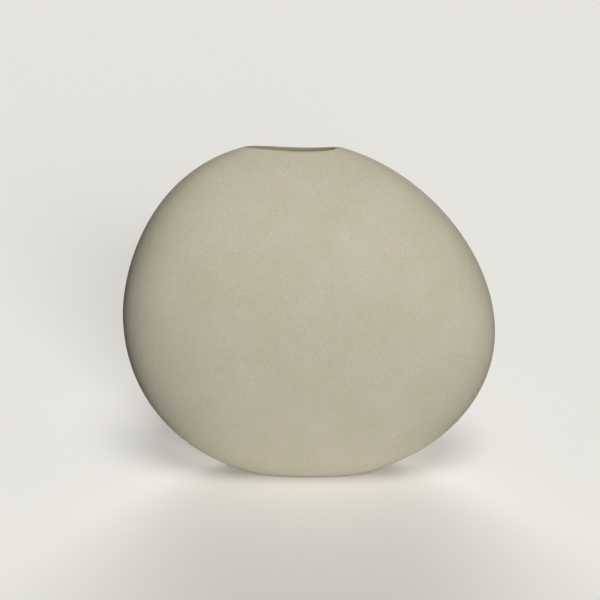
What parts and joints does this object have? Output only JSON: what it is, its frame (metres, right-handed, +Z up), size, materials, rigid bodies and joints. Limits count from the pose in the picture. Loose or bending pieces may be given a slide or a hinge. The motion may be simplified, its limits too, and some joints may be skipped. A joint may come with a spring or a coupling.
{
  "type": "pillow vase",
  "caption": "Free-standing matte stoneware pillow vase: a leaning, flattened pebble form with a narrow off-centre slit mouth for stems and an oval foot to rest on.",
  "frame": {"origin": "on the resting plane, under the middle of the outline's width and depth", "axes": "+X along the width towards the lower, fuller shoulder; +Y from the front face to the back face; +Z up"},
  "size_m": [0.24, 0.1, 0.2156],
  "materials": {
    "stoneware_body": "fine-grained matte greige stoneware, sponged smooth",
    "base_clay": "bare fired clay, ground flat",
    "coil_clay": "bare fired clay, pressed and smoothed",
    "liner_glaze": "thin satin liner glaze"
  },
  "bodies": {
    "root": {"front_shell": "stoneware_body", "back_shell": "stoneware_body", "base_slab": "base_clay", "seam_coil_left": "coil_clay", "seam_coil_right": "coil_clay", "liner_glaze": "liner_glaze"}
  },
  "joints": []
}
